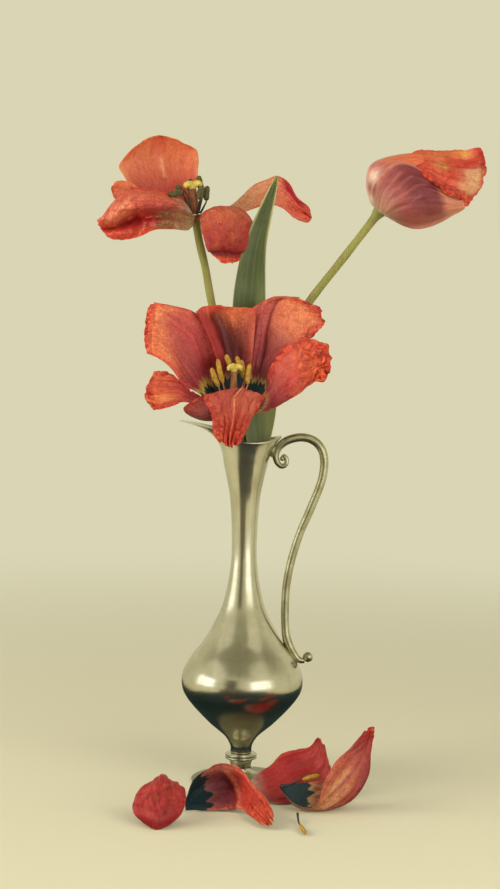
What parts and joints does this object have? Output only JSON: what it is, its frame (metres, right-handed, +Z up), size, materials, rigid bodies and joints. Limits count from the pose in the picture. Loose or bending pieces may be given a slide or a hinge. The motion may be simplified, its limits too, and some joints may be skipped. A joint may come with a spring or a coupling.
{
  "type": "wilted bouquet",
  "caption": "Wilted tulips and a long leaf in a pewter jug vase with a scrolled handle, their dropped petals and stamens lying round the foot.",
  "frame": {"origin": "centre of the foot's flat underside, on the surface the vase stands on", "axes": "+Z up the vase's axis, -Y the side the open flower faces, -X the pouring lip, +X the handle"},
  "size_m": [0.24, 0.1671, 0.403],
  "materials": {
    "pewter": "satin",
    "stem_green": "satin",
    "leaf_green": "satin",
    "petal_red": "satin",
    "petal_mauve": "satin",
    "petal_dry": "matte",
    "pollen": "matte",
    "pistil_green": "satin"
  },
  "bodies": {
    "root": {"vase_body": "pewter", "vase_foot": "pewter", "handle": "pewter", "stem_left": "stem_green", "stem_center": "stem_green", "stem_right": "stem_green", "leaf": "leaf_green", "left_petal_1": "petal_red", "left_petal_2": "petal_red", "left_petal_3": "petal_mauve", "left_petal_4": "petal_red", "left_petal_5": "petal_red", "left_pistil": "pistil_green", "left_stamen_1": "pollen", "left_stamen_2": "pollen", "left_stamen_3": "pollen", "left_stamen_4": "pollen", "left_stamen_5": "pollen", "left_stamen_6": "pollen", "right_petal_1": "petal_mauve", "right_petal_2": "petal_mauve", "right_petal_3": "petal_mauve", "right_petal_4": "petal_red", "right_petal_5": "petal_red", "right_petal_6": "petal_red", "center_petal_1": "petal_red", "center_petal_2": "petal_red", "center_petal_3": "petal_red", "center_petal_4": "petal_dry", "center_petal_5": "petal_red", "center_petal_6": "petal_dry", "center_pistil": "pistil_green", "center_stamen_1": "pollen", "center_stamen_2": "pollen", "center_stamen_3": "pollen", "center_stamen_4": "pollen", "center_stamen_5": "pollen", "center_stamen_6": "pollen", "fallen_petal_1": "petal_dry", "fallen_petal_2": "petal_red", "fallen_petal_3": "petal_red", "fallen_petal_4": "petal_red", "fallen_stamen_1": "pollen", "fallen_stamen_2": "pollen"}
  },
  "joints": []
}
